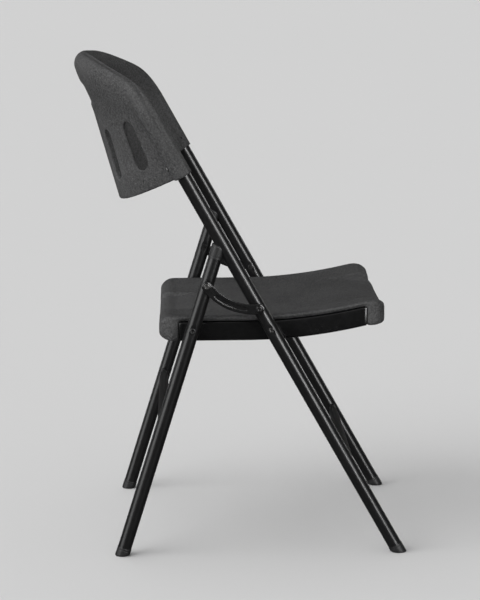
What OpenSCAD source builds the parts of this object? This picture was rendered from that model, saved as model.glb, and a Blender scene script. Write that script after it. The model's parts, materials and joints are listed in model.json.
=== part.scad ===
// Folding chair with a moulded seat and back on a round steel tube frame.
// X points forward, Y to the sitter's left, Z up. The floor is Z = 0.

/* [Frame] */
// Distance between the left and right leg tube centres
frame_w = 418; // [380:1:460]
// Distance from the front foot centre to the rear foot centre
foot_spread = 446; // [420:1:470]
// Lean of the uprights back from vertical, in degrees
upright_lean = 29.1; // [27:0.1:31]
// Lean of the rear legs forward from vertical, in degrees
rear_lean = 17.65; // [16:0.05:19]
// Length of each upright from the floor to its top end
upright_len = 792; // [770:1:796]
// Length of each rear leg tube from the floor to its top end
rear_len = 505; // [490:1:505]

/* [Tube] */
// Outside diameter of the leg tubes
tube_d = 22; // [18:0.5:24]
// Wall of the leg tubes
tube_wall = 1.2; // [1:0.1:2]
// Diameter of the two crossbars
bar_d = 16; // [12:0.5:18]
// Height of the front crossbar, along the front leg
front_bar_u = 162; // [120:1:180]
// Height of the rear crossbar, along the rear leg
rear_bar_d = 221; // [205:1:260]

/* [Folding linkage] */
// Seat pivot, measured from the floor along the front leg
seat_pivot_u = 420.5; // [410:0.5:430]
// Rear pivot, measured from the floor along the rear leg
rear_pivot_d = 385.3; // [375:0.1:395]
// Link pivot above the seat pivot, along the front leg
link_gap_front = 40; // [38:0.1:42]
// Link pivot above the rear pivot, along the rear leg
link_gap_rear = 75.5; // [74:0.1:77]
// Diameter of the rivets
rivet_d = 6; // [5:0.5:8]
// Diameter of the small rivet heads
head_d = 9.5; // [8:0.5:12]
// Running clearance of each pivot, on the radius
run_gap = 0.05; // [0.01:0.01:0.1]
// Side play between moving faces
side_gap = 0.3; // [0.2:0.05:0.5]
// Thickness of the spacer between a leg and the seat rail
spacer_t = 6.4; // [5:0.1:9]

/* [Link] */
// Width of each link
link_w = 16; // [13:0.5:18]
// Thickness of the link plate
link_t = 3; // [2:0.1:4]
// Stand-off of the link plate from the legs
link_standoff = 2.4; // [2.2:0.1:4]
// Sag of the link below the line between its pivots
link_sag = 12; // [8:0.5:14]

/* [Seat] */
// Rear edge of the seat, behind the middle of the feet
seat_back = 151; // [145:1:160]
// Front edge of the seat, ahead of the middle of the feet
seat_front = 212; // [205:1:220]
// Gap between the seat side and the leg tube
seat_side_gap = 6; // [5:0.1:9]
// Depth of the dish in the middle of the seat
seat_dish = 8; // [4:0.5:10]
// Height of the seat's side bolster above the rail's middle line
bolster_h = 20; // [18:0.5:24]
// Thickness of the seat skin at the dish
skin_t = 6; // [5:0.5:9]
// Width of the seat's hanging rim
rim_w = 18; // [14:1:30]

/* [Seat rail] */
// Height of each seat rail
rail_h = 31; // [28:0.5:34]
// Sheet thickness of the seat rails
rail_t = 2; // [1.5:0.1:3]
// Width of the rail's flanges
rail_flange = 10; // [8:0.5:12]
// Rear end of the rails, behind the middle of the feet
rail_back = 123; // [118:1:126]
// Front end of the rails, ahead of the middle of the feet
rail_front = 175; // [165:1:178]
// Diameter of the two braces below the seat
brace_d = 14; // [10:0.5:15]

/* [Backrest] */
// Bottom edge of the backrest, along the upright
back_bottom_u = 700; // [680:1:710]
// Middle of the top roll, along the upright
back_top_u = 925; // [900:1:940]
// Height along the upright where the sides start to curve in
back_corner_u = 800; // [790:1:815]
// Diameter of the roll round the backrest
roll_d = 31; // [28:0.5:34]
// Thickness of the back panel
panel_t = 13; // [9:0.5:15]
// How far the panel bows back at its bottom edge
bow_bottom = 110; // [80:1:120]
// How far the panel bows back at the top roll
bow_top = 60; // [45:1:75]
// Width of each slot in the backrest
slot_w = 27; // [15:1:30]
// Length of each slot
slot_len = 80; // [50:1:90]
// Middle of the slots, along the upright
slot_u = 777; // [765:1:790]
// Middle of each inner slot, from the centre line
slot_inner_y = 96; // [85:1:100]
// Middle of each outer slot, from the centre line
slot_outer_y = 158; // [145:1:165]

/* [Feet and caps] */
// Diameter of the feet and of the stop caps
foot_d = 23; // [19:0.5:25]
// Height of the foot's collar, along the leg
foot_h = 14; // [10:1:20]
// Length of the foot's plug inside the tube
plug_len = 18; // [10:1:25]
// Length of the stop cap outside the rear leg tube
cap_len = 25; // [20:1:30]

/* [Screws] */
// Diameter of the screws
screw_d = 4; // [3:0.5:5]
// Diameter of the screw heads
screw_head_d = 8; // [6:0.5:9]

/* [Hidden] */
$fn = 48;

half_w = frame_w / 2;
tube_r = tube_d / 2;
roll_r = roll_d / 2;
foot_r = foot_d / 2;
half_spread = foot_spread / 2;
wall_gap = 0.05;   // a fit between still parts
sleeve_fit = 0.15; // between the backrest and the uprights
screw_head_t = 2;

bow_power = 2.4;                                 // shape of the back panel's bow
corner_power = 2.3;                              // shape of the backrest's top corners
back_y = half_w + roll_r;                        // outer side of the backrest
back_rise = back_top_u + roll_r - back_corner_u; // height of the backrest's curved top

// The origin is below the middle of the whole chair, so the feet are off centre by this much.
chair_front = half_spread + foot_r / cos(upright_lean);
chair_back = half_spread + min([for (p = back_slice(90)) p[0] * cos(upright_lean) - p[2] * sin(upright_lean)]);
mid_x = -(chair_front + chair_back) / 2;

// Places across the chair, from the centre line outwards
seat_y = half_w - tube_r - seat_side_gap;             // side face of the seat
leg_in = half_w - tube_r;                             // inner face of a leg
leg_out = half_w + tube_r;                            // outer face of a leg
rail_y = leg_in - spacer_t - 2 * side_gap;            // outer face of a rail
web_y = rail_y - rail_t;                              // inner face of a rail's web
head_t = 1.5;                                         // height of a small rivet head
link_y = leg_out + link_standoff;                     // inner face of a link plate
recess_y = web_y - rail_flange - side_gap;            // floor of the seat's rail recess

function upright_at(u) = [mid_x + half_spread - u * sin(upright_lean), u * cos(upright_lean)];
function rear_at(d) = [mid_x - half_spread + d * sin(rear_lean), d * cos(rear_lean)];
seat_pivot = upright_at(seat_pivot_u);
link_pivot = upright_at(seat_pivot_u + link_gap_front);
rear_pivot = rear_at(rear_pivot_d);
link_end = rear_at(rear_pivot_d + link_gap_rear);

// Middle line of the seat rails: level at the rear, rising towards the front
rail_z0 = seat_pivot[1] - 1.2;
rise_from = 20;
rise_k = 0.0006;
function rail_z(x) = rail_z0 + rise_k * pow(max(0, x - mid_x + rise_from), 2);

function steps(a, b, n) = [for (i = [0 : n]) a + (b - a) * i / n];

module on_upright(u) {
    p = upright_at(u);
    translate([p[0], 0, p[1]]) rotate([0, -upright_lean, 0]) children();
}
module on_rear_leg(d) {
    p = rear_at(d);
    translate([p[0], 0, p[1]]) rotate([0, rear_lean, 0]) children();
}
// Turns what is drawn for the left side into the left or the right one
module on_side(s) { mirror([0, s < 0 ? 1 : 0, 0]) children(); }
// A round bar along Y, from y0 to y1, about the point p in the XZ plane
module crosswise(p, y0, y1, r) {
    translate([p[0], y0, p[1]]) rotate([-90, 0, 0]) cylinder(h = y1 - y0, r = r);
}
// Everything above the floor
module above_floor() {
    intersection() {
        children();
        translate([-1000, -1000, 0]) cube([2000, 2000, 2000]);
    }
}

// Triangles that close a loop of n points, taken in pairs from its two ends
function paired_lid(n, first, flip) = [for (j = [0 : floor((n - 1) / 2) - 1])
    let (b = j + 1, c = n - 2 - j, d = n - 1 - j)
    for (t = concat(c > b ? [[j, b, c]] : [], [[j, c, d]]))
        flip ? [first + t[2], first + t[1], first + t[0]] : [first + t[0], first + t[1], first + t[2]]];
// Closed skin through a row of loops that all have the same number of points.
// A loop that folds back along itself needs its lid made in pairs.
module skin(loops, paired = false) {
    n = len(loops[0]);
    m = len(loops);
    last = (m - 1) * n;
    polyhedron(
        points = [for (l = loops) for (p = l) p],
        faces = concat(
            paired ? paired_lid(n, 0, true) : [[for (j = [n - 1 : -1 : 0]) j]],
            [for (i = [0 : m - 2]) for (j = [0 : n - 1]) let (k = (j + 1) % n)
                each [[i * n + j, i * n + k, (i + 1) * n + k], [i * n + j, (i + 1) * n + k, (i + 1) * n + j]]],
            paired ? paired_lid(n, last, false) : [[for (j = [0 : n - 1]) last + j]]));
}

// ---- Legs ----
module leg_tube(from, to) {
    translate([0, half_w, from]) difference() {
        cylinder(h = to - from, r = tube_r);
        translate([0, 0, -1]) cylinder(h = to - from + 2, r = tube_r - tube_wall);
    }
}
module upright(s) {
    color("#1c1c1e") on_side(s) difference() {
        on_upright(0) leg_tube(foot_h, upright_len);
        crosswise(seat_pivot, leg_in - 5, leg_out + 5, rivet_d / 2 + wall_gap);
        crosswise(link_pivot, leg_in - 5, leg_out + 5, rivet_d / 2 + wall_gap);
        on_upright(back_screw_u) translate([-roll_r, half_w, 0])
            rotate([0, 90, 0]) cylinder(h = roll_r, r = screw_d / 2 + wall_gap);
    }
}
module rear_leg(s) {
    color("#1c1c1e") on_side(s) difference() {
        on_rear_leg(0) leg_tube(foot_h, rear_len);
        crosswise(rear_pivot, leg_in - 5, leg_out + 5, rivet_d / 2 + wall_gap);
        crosswise(link_end, leg_in - 5, leg_out + 5, rivet_d / 2 + wall_gap);
    }
}
// A foot is cut flat by the floor and plugged into its tube
module foot() {
    translate([0, half_w, -foot_r]) cylinder(h = foot_h + foot_r - wall_gap, r = foot_r);
    translate([0, half_w, foot_h - 1]) cylinder(h = plug_len + 1, r = tube_r - tube_wall - wall_gap);
}
module front_foot(s) { color("#2a2a2c") on_side(s) above_floor() on_upright(0) foot(); }
module rear_foot(s) { color("#2a2a2c") on_side(s) above_floor() on_rear_leg(0) foot(); }

// Crossbars end in saddles on the legs
module front_crossbar() {
    color("#1c1c1e") difference() {
        crosswise(upright_at(front_bar_u), -half_w, half_w, bar_d / 2);
        crosswise(upright_at(front_bar_u), -half_w - 1, half_w + 1, bar_d / 2 - tube_wall);
        for (s = [-1, 1]) on_upright(0) translate([0, s * half_w, 0]) cylinder(h = 400, r = tube_r + wall_gap);
    }
}
module rear_crossbar() {
    color("#1c1c1e") difference() {
        crosswise(rear_at(rear_bar_d), -half_w, half_w, bar_d / 2);
        crosswise(rear_at(rear_bar_d), -half_w - 1, half_w + 1, bar_d / 2 - tube_wall);
        for (s = [-1, 1]) on_rear_leg(0) translate([0, s * half_w, 0]) cylinder(h = 400, r = tube_r + wall_gap);
    }
}
// The stop cap closes a rear leg and cradles the upright when the chair is open
cap_fit = 0.3;
module stop_cap(s) {
    color("#2a2a2c") on_side(s) difference() {
        on_rear_leg(0) {
            translate([0, half_w, rear_len + wall_gap]) cylinder(h = cap_len, r = foot_r);
            translate([0, half_w, rear_len - plug_len])
                cylinder(h = plug_len + 1, r = tube_r - tube_wall - wall_gap);
        }
        on_upright(0) translate([0, half_w, 0]) cylinder(h = upright_len, r = tube_r + cap_fit);
        // nothing stands in front of the upright's middle
        on_upright(0) translate([0, 0, 300]) cube([60, 600, 500]);
    }
}

// ---- Pivots ----
// A rivet through a leg and a seat rail, with a head at each end
module rail_rivet(s, p) {
    color("#3a3a3c") on_side(s) {
        crosswise(p, web_y - side_gap - head_t, leg_out + wall_gap + head_t, rivet_d / 2);
        crosswise(p, leg_out + wall_gap, leg_out + wall_gap + head_t, head_d / 2);
        crosswise(p, web_y - side_gap - head_t, web_y - side_gap, head_d / 2);
    }
}
spacer_d = 13.3;
module spacers(p) {
    color("#3a3a3c") for (s = [-1, 1]) on_side(s) difference() {
        crosswise(p, leg_in - wall_gap - spacer_t, leg_in - wall_gap, spacer_d / 2);
        crosswise(p, leg_in - spacer_t - 1, leg_in + 1, rivet_d / 2 + wall_gap);
    }
}
// The link's front rivet holds it to the upright
module link_rivet(s) {
    outer = link_y + link_t + side_gap;
    color("#3a3a3c") on_side(s) {
        crosswise(link_pivot, leg_in - wall_gap - head_t, outer + head_t, rivet_d / 2);
        crosswise(link_pivot, outer, outer + head_t, head_d / 2);
        crosswise(link_pivot, leg_in - wall_gap - head_t, leg_in - wall_gap, head_d / 2);
    }
}
// The link's rear rivet: its head turns with the link and its tail stays with the rear leg
module link_head(s) {
    color("#3a3a3c") on_side(s) {
        crosswise(link_end, leg_out + side_gap, link_y + link_t + wall_gap + head_t, rivet_d / 2);
        crosswise(link_end, link_y + link_t + wall_gap, link_y + link_t + wall_gap + head_t, head_d / 2);
    }
}
module link_rivet_tails() {
    color("#3a3a3c") for (s = [-1, 1]) on_side(s) {
        crosswise(link_end, leg_in - wall_gap - head_t, leg_out, rivet_d / 2);
        crosswise(link_end, leg_in - wall_gap - head_t, leg_in - wall_gap, head_d / 2);
    }
}

// ---- Links ----
link_chord = norm(link_end - link_pivot);
link_dir = atan2(link_end[1] - link_pivot[1], link_end[0] - link_pivot[0]);
link_arc_r = (pow(link_chord / 2, 2) + pow(link_sag, 2)) / (2 * link_sag);
link_half_angle = asin(link_chord / 2 / link_arc_r);
boss_r = link_w / 2 - 0.5;
module link_outline() {
    // the front pivot is at the origin and the rear one on +X
    translate([link_chord / 2, -(link_arc_r - link_sag)])
        rotate(90 - link_half_angle)
            intersection() {
                difference() {
                    circle(r = link_arc_r + link_w / 2, $fn = 180);
                    circle(r = link_arc_r - link_w / 2, $fn = 180);
                }
                polygon([[0, 0], for (a = steps(0, 2 * link_half_angle, 6)) 2 * link_arc_r * [cos(a), sin(a)]]);
            }
    for (x = [0, link_chord]) translate([x, 0]) circle(d = link_w);
}
module link(s) {
    color("#1c1c1e") on_side(s) difference() {
        union() {
            translate([link_pivot[0], link_y + link_t, link_pivot[1]]) rotate([0, -link_dir, 0])
                rotate([90, 0, 0]) linear_extrude(link_t) link_outline();
            for (p = [link_pivot, link_end])
                crosswise(p, leg_out + side_gap, link_y + link_t / 2, boss_r);
        }
        crosswise(link_pivot, leg_out - 1, link_y + link_t + 1, rivet_d / 2 + run_gap);
        crosswise(link_end, leg_out - 1, link_y + link_t + 1, rivet_d / 2 + wall_gap);
    }
}

// ---- Seat rails and braces ----
brace_x = [mid_x - 62, mid_x + 112];
ceiling = bolster_h - seat_dish - skin_t;    // underside of the skin, above the rails' middle line
brace_drop = brace_d / 2 + side_gap - ceiling;
function brace_at(i) = [brace_x[i], rail_z(brace_x[i]) - brace_drop];
// Band of the side view that follows the rails, between two heights from their middle line
module rail_band(x0, x1, low, high) {
    polygon(concat(
        [for (x = steps(x0, x1, 14)) [x, rail_z(x) + low]],
        [for (x = steps(x1, x0, 14)) [x, rail_z(x) + high]]));
}
module across(y0, y1) { translate([0, y1, 0]) rotate([90, 0, 0]) linear_extrude(y1 - y0) children(); }
module seat_rail(s) {
    x0 = mid_x - rail_back;
    x1 = mid_x + rail_front;
    color("#161618") on_side(s) difference() {
        union() {
            across(web_y, rail_y) rail_band(x0, x1, -rail_h / 2, rail_h / 2);
            across(web_y - rail_flange, web_y + 0.5) rail_band(x0, x1, -rail_h / 2, -rail_h / 2 + rail_t);
            across(web_y - rail_flange, web_y + 0.5) rail_band(x0, x1, rail_h / 2 - rail_t, rail_h / 2);
        }
        crosswise(seat_pivot, web_y - 1, rail_y + 1, rivet_d / 2 + run_gap);
        crosswise(rear_pivot, web_y - 1, rail_y + 1, rivet_d / 2 + run_gap);
    }
}
module seat_brace(i) {
    color("#161618") difference() {
        crosswise(brace_at(i), -web_y + wall_gap, web_y - wall_gap, brace_d / 2);
        crosswise(brace_at(i), -web_y, web_y, brace_d / 2 - tube_wall);
        for (s = [-1, 1]) translate([brace_at(i)[0], s * seat_screw_y, brace_at(i)[1] - brace_d])
            cylinder(h = 2 * brace_d, r = screw_d / 2 + wall_gap);
    }
}
seat_screw_y = 110;
screw_bite = 5;
module seat_screws() {
    color("#8a8a8c") for (i = [0, 1]) for (s = [-1, 1])
        translate([brace_at(i)[0], s * seat_screw_y, brace_at(i)[1] - brace_d / 2]) {
            translate([0, 0, -2]) cylinder(h = brace_d + 2 + screw_bite, r = screw_d / 2);
            translate([0, 0, -2.5]) cylinder(h = 2.4, r = screw_head_d / 2);
        }
}

// ---- Seat ----
seat_x0 = mid_x - seat_back;
seat_x1 = mid_x + seat_front;
corner_r = 26;
nose_r = 20;
bolster_y = 20;   // width of the rounded shoulder outside the bolster's crest
rim_h = bolster_h + rail_h / 2;
// share of the full size that is left at a distance d from an end rounded with radius r
function rounded(d, r) = d >= r ? 0 : r - sqrt(max(0, r * r - pow(r - d, 2)));
function seat_half(x) = seat_y - rounded(min(x - seat_x0, seat_x1 - x) + 1.5, corner_r);
function crest_z(x) = rail_z(x) + bolster_h
    - 0.8 * rounded(seat_x1 - x + 1.5, nose_r) - 0.55 * rounded(x - seat_x0 + 1.5, nose_r);
function under_z(x) = rail_z(min(x, mid_x + rail_front)) - rail_h / 2
    + 0.3 * rounded(seat_x1 - x + 1.5, nose_r) + 0.6 * rounded(x - seat_x0 + 1.5, nose_r);
function dish_at(x) = seat_dish * min(1, (seat_x1 - x) / 120) * min(1, (x - seat_x0) / 40 + 0.35);
function top_z(x, y) = let (h = seat_half(x), c = h - bolster_y)
    crest_z(x) - (abs(y) < c ? dish_at(x) * (1 - pow(abs(y) / c, 4)) : 9 * pow((abs(y) - c) / bolster_y, 2));
seat_rows = concat(steps(seat_x0, seat_x0 + corner_r, 6), steps(seat_x0 + 50, seat_x1 - 40, 9),
    steps(seat_x1 - corner_r, seat_x1, 6));
module seat_envelope() {
    skin([for (x = seat_rows) let (h = seat_half(x)) concat(
        [for (f = [-1, -0.985, -0.955, -0.92, -0.88, -0.7, -0.45, 0, 0.45, 0.7, 0.88, 0.92, 0.955, 0.985, 1])
            [x, f * h, top_z(x, f * h)]],
        [[x, h, under_z(x) + 4], [x, h - 4, under_z(x)], [x, 4 - h, under_z(x)], [x, -h, under_z(x) + 4]])]);
}
module seat_shell() {
    pocket_y = recess_y - wall_gap - 9;
    color("#3b3b3d") difference() {
        seat_envelope();
        // hollow below the skin
        across(-pocket_y, pocket_y) rail_band(seat_x0 + rim_w, seat_x1 - rim_w, -rail_h, ceiling);
        // recesses for the rails
        for (s = [-1, 1]) on_side(s) across(recess_y, seat_y + 10)
            rail_band(mid_x - rail_back - side_gap, mid_x + rail_front + side_gap,
                -rail_h / 2 - 10, rail_h / 2 + wall_gap);
        for (i = [0, 1]) crosswise(brace_at(i), -seat_y - 5, seat_y + 5, brace_d / 2 + wall_gap);
        for (i = [0, 1]) for (s = [-1, 1]) translate([brace_at(i)[0], s * seat_screw_y, brace_at(i)[1]])
            cylinder(h = brace_d / 2 + screw_bite + wall_gap, r = screw_d / 2 + wall_gap, $fn = 24);
    }
}

// ---- Backrest ----
back_screw_u = back_bottom_u + 22;
// How far the panel's middle surface lies behind the uprights at a height u and a place y across
function bow_at(u) = bow_bottom + (bow_top - bow_bottom) * (u - back_bottom_u) / (back_top_u - back_bottom_u);
function bow_share(y) = min(1, abs(y) / (half_w - roll_r));
function back_v(y, u) = bow_at(u) * (1 - pow(bow_share(y), bow_power));
function back_slope(y, u) = bow_at(u) * bow_power * pow(bow_share(y), bow_power - 1) / (half_w - roll_r);
// Half thickness of the sleeve round an upright, and of the panel or the sleeve, whichever is thicker
function sleeve_half(y) = sqrt(max(1, roll_r * roll_r - pow(abs(y) - half_w, 2)));
function half_thick(y) = max(panel_t / 2 * sqrt(1 + pow(back_slope(min(abs(y), slot_outer_y), slot_u), 2)),
    sleeve_half(y));
// The outline over the top: place across and height for an angle from the left side to the right
function edge_y(a) = sign(cos(a)) * back_y * pow(abs(cos(a)), 2 / corner_power);
function edge_u(a) = back_corner_u + back_rise * pow(sin(a), 2 / corner_power);
// One slice of the back from its bottom edge up its front, over the roll and down its rear
function back_slice(a) = let (
        y = edge_y(a), top = edge_u(a), outer = abs(y) > half_w,
        deep = outer ? sleeve_half(y) : roll_r,
        thick = outer ? deep : min(half_thick(y), roll_r),
        high = min(roll_r * (1 + 2 * pow(abs(cos(a)), 4)), top - back_corner_u + roll_r),
        turn = 180 - asin(thick / deep), join = top - high + high * cos(turn),
        rib = concat([for (u = steps(back_bottom_u, join, 4)) [u, thick]],
            [for (t = steps(turn, 0, 7)) if (t < turn) [top - high + high * cos(t), deep * sin(t)]]),
        n = len(rib))
    concat(
        [for (j = [0 : n - 1]) [rib[j][1] - back_v(y, rib[j][0]), y, rib[j][0]]],
        [for (j = [n - 2 : -1 : 0]) [-rib[j][1] - back_v(y, rib[j][0]), y, rib[j][0]]]);
back_turns = concat(steps(180, 140, 8), steps(131, 49, 8), steps(40, 0, 8));
module back_body() { skin([for (a = back_turns) back_slice(a)], paired = true); }
module slot_cut(y) {
    turn = -sign(y) * atan(back_slope(y, slot_u));
    straight = slot_len - slot_w;
    translate([-back_v(y, slot_u), y, slot_u]) rotate([0, 0, turn]) rotate([0, 90, 0])
        linear_extrude(60, center = true) {
            square([straight, slot_w], center = true);
            for (e = [-1, 1]) translate([e * straight / 2, 0]) circle(d = slot_w, $fn = 32);
        }
}
module backrest_shell() {
    color("#3b3b3d") on_upright(0) difference() {
        back_body();
        for (s = [-1, 1]) {
            translate([0, s * half_w, back_bottom_u - 5])
                cylinder(h = upright_len + side_gap - back_bottom_u + 5, r = tube_r + sleeve_fit);
            for (y = [slot_inner_y, slot_outer_y]) slot_cut(s * y);
            translate([-roll_r - 5, s * half_w, back_screw_u]) rotate([0, 90, 0])
                cylinder(h = roll_r, r = screw_d / 2 + wall_gap, $fn = 24);
        }
    }
}
module backrest_screws() {
    color("#8a8a8c") on_upright(back_screw_u) for (s = [-1, 1]) translate([0, s * half_w, 0]) {
        translate([-roll_r - 1, 0, 0]) rotate([0, 90, 0]) cylinder(h = 9, r = screw_d / 2);
        translate([-roll_r - screw_head_t - 0.1, 0, 0]) rotate([0, 90, 0])
            cylinder(h = screw_head_t, r = screw_head_d / 2);
    }
}

upright(1);  // left_upright
upright(-1);  // right_upright
front_crossbar();
front_foot(1);  // front_left_foot
front_foot(-1);  // front_right_foot
backrest_shell();
backrest_screws();
rail_rivet(1, seat_pivot);  // left_seat_rivet
rail_rivet(-1, seat_pivot);  // right_seat_rivet
link_rivet(1);  // left_link_rivet
link_rivet(-1);  // right_link_rivet
spacers(seat_pivot);  // front_spacers
seat_shell();
seat_rail(1);  // left_seat_rail
seat_rail(-1);  // right_seat_rail
seat_brace(1);  // front_seat_brace
seat_brace(0);  // rear_seat_brace
seat_screws();
rear_leg(1);  // left_rear_leg
rear_leg(-1);  // right_rear_leg
rear_crossbar();
rear_foot(1);  // rear_left_foot
rear_foot(-1);  // rear_right_foot
stop_cap(1);  // left_stop_cap
stop_cap(-1);  // right_stop_cap
rail_rivet(1, rear_pivot);  // left_rear_rivet
rail_rivet(-1, rear_pivot);  // right_rear_rivet
spacers(rear_pivot);  // rear_spacers
link_rivet_tails();
link(1);  // left_link
link(-1);  // right_link
link_head(1);  // left_link_head
link_head(-1);  // right_link_head
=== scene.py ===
# Folding chair: a moulded plastic seat and back on a folding frame of round steel tube.
import json
import bmesh
import bpy
import numpy as np
from math import asin, atan, copysign, cos, hypot, pi, radians, sin, sqrt
from mathutils import Matrix, Vector


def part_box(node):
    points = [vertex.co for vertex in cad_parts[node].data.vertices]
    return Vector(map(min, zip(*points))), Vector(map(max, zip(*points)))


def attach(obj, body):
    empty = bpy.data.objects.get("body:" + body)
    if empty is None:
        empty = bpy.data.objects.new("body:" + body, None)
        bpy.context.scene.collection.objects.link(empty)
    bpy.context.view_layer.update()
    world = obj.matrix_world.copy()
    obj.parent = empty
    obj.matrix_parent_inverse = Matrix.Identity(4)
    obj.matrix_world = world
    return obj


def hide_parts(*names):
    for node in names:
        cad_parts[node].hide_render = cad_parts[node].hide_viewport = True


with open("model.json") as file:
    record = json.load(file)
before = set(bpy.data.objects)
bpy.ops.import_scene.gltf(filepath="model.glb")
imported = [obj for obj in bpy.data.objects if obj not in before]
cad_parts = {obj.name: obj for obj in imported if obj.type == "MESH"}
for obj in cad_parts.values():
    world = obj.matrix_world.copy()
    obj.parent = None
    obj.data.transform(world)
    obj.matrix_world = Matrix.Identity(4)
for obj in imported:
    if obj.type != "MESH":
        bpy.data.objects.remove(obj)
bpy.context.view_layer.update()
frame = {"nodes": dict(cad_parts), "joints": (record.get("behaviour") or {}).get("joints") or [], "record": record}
print("frame loaded:", len(frame["nodes"]), "nodes")

chair = {
    "uprightLean": radians(29.1),  # the uprights lean back
    "rearLean": radians(17.65),  # the rear legs lean forward
    "footSpread": 0.446,  # from the rear feet to the front feet
    "tubeRadius": 0.011,
    "playGap": 0.0003,  # play between parts that slide or turn on each other
}
tubeRadius = chair["tubeRadius"]
sides = ((1, "left"), (-1, "right"))

def boxMiddle(node):
    # the middle of a node's box, seen from the side
    low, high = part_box(node)
    return (low.x + high.x) / 2, (low.z + high.z) / 2

def sideReach(node):
    # how far a node's near and far faces are from the chair's middle plane
    low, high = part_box(node)
    return sorted((abs(low.y), abs(high.y)))

# where the pivots and the feet are, from the frame
hinges = {j["name"]: Vector(j["pos_m"]) for j in frame["joints"]}
seatPivot = hinges["seat_fold"]
rearPivot = hinges["rear_leg_fold"]
linkPivot = hinges["left_link_fold"]
linkEndX, linkEndZ = boxMiddle("left_link_head")
linkEnd = Vector((linkEndX, 0, linkEndZ))
frontFoot = Vector(frame["record"]["mounts"][0]["pos_m"])
legY = frontFoot.y
rearFoot = frontFoot - Vector((chair["footSpread"], 0, 0))
midX = frontFoot.x - chair["footSpread"] / 2

def leanAxes(lean):
    # forward and upward directions of a leg that leans back by this angle
    return Vector((cos(lean), 0, sin(lean))), Vector((-sin(lean), 0, cos(lean)))

foreAxis, upAxis = leanAxes(chair["uprightLean"])
frontLeg = (frontFoot, foreAxis, upAxis)
rearLeg = (rearFoot, *leanAxes(-chair["rearLean"]))

def alongLeg(leg, f, y, u):
    # places points given as forward offset, place across and height along a leg
    foot, fore, up = leg
    base = np.array((foot.x, 0.0, 0.0))
    f, y, u = np.broadcast_arrays(np.asarray(f, float), np.asarray(y, float), np.asarray(u, float))
    return base + f[..., None] * np.array(fore) + y[..., None] * np.array((0, 1.0, 0)) + u[..., None] * np.array(up)

def legRing(leg, side, radius, angles, u):
    # a ring of points round a leg, at height u along it
    return alongLeg(leg, radius * np.cos(angles), side * legY + radius * np.sin(angles), u)

def circleAngles(count):
    return np.linspace(0, 2 * pi, count, endpoint=False)

def spans(ends, counts):
    # evenly spaced values from each end to the next, so many in each span
    parts = [np.linspace(a, b, n) for a, b, n in zip(ends, ends[1:], counts)]
    return np.concatenate(parts[:1] + [part[1:] for part in parts[1:]])

def corners(x0, x1, y0, y1):
    return [(x0, y0), (x1, y0), (x1, y1), (x0, y1)]

def smoothStep(low, high, value):
    t = np.clip((np.asarray(value, float) - low) / (high - low), 0, 1)
    return t * t * (3 - 2 * t)

def stepFrom(base, ends, value):
    return smoothStep(base + ends[0], base + ends[1], value)

def bell(value, at, width):
    # 1 at one place, falling away smoothly on both sides of it
    return np.exp(-((value - at) / width) ** 2)

# mesh helpers
def meshObject(name, points, faces):
    mesh = bpy.data.meshes.new(name)
    mesh.from_pydata([tuple(p) for p in points], [], [tuple(f) for f in faces])
    mesh.validate()
    mesh.update()
    piece = bpy.data.objects.new(name, mesh)
    bpy.context.scene.collection.objects.link(piece)
    return piece

def smoothFaces(piece, sharpAngle=None):
    piece.data.polygons.foreach_set("use_smooth", [True] * len(piece.data.polygons))
    if sharpAngle is not None:
        piece.data.set_sharp_from_angle(angle=radians(sharpAngle))
    return piece

def tidyMesh(piece, weld=1e-6, sharpAngle=35):
    # welds doubles, turns the faces outwards and smooths all but the sharp edges
    work = bmesh.new()
    work.from_mesh(piece.data)
    bmesh.ops.remove_doubles(work, verts=work.verts, dist=weld)
    bmesh.ops.dissolve_degenerate(work, edges=work.edges, dist=weld)
    bmesh.ops.recalc_face_normals(work, faces=work.faces)
    work.to_mesh(piece.data)
    work.free()
    return smoothFaces(piece, sharpAngle)

def bakeModifiers(piece):
    # replaces a piece's mesh by what its modifiers make of it
    graph = bpy.context.evaluated_depsgraph_get()
    graph.update()
    baked = bpy.data.meshes.new_from_object(piece.evaluated_get(graph))
    piece.modifiers.clear()
    old = piece.data
    piece.data = baked
    bpy.data.meshes.remove(old)
    return piece

def loftMesh(name, rings, sharpAngle=35):
    # a closed skin through rings of points; every ring has the same number of points
    count, last = len(rings[0]), len(rings) - 1
    faces = []
    for i in range(last):
        for j in range(count):
            k = (j + 1) % count
            faces.append((i * count + j, i * count + k, (i + 1) * count + k, (i + 1) * count + j))
    for first in (0, last * count):
        faces.append(tuple(range(first, first + count)))
    points = np.concatenate([np.asarray(ring, float) for ring in rings])
    return tidyMesh(meshObject(name, points, faces), sharpAngle=sharpAngle)

def latheMesh(name, profile, count=40):
    # turns a profile of (radius, height) round the Z axis; it starts and ends on the axis
    angles = circleAngles(count)
    points = [(0, 0, profile[0][1])]
    for radius, height in profile[1:-1]:
        points += [(radius * cos(a), radius * sin(a), height) for a in angles]
    points.append((0, 0, profile[-1][1]))
    rings, last = len(profile) - 2, len(points) - 1
    faces = []
    for j in range(count):
        k = (j + 1) % count
        faces.append((0, 1 + k, 1 + j))
        for i in range(rings - 1):
            a, b = 1 + i * count, 1 + (i + 1) * count
            faces.append((a + j, a + k, b + k, b + j))
        a = 1 + (rings - 1) * count
        faces.append((a + j, a + k, last))
    return meshObject(name, points, faces)

def cutWith(piece, cutters):
    # cuts the cutters out of a piece and removes them
    for cutter in cutters:
        cut = piece.modifiers.new("cut", "BOOLEAN")
        cut.operation = "DIFFERENCE"
        cut.solver = "EXACT"
        cut.object = cutter
    bakeModifiers(piece)
    for cutter in cutters:
        bpy.data.objects.remove(cutter)
    return piece

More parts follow.
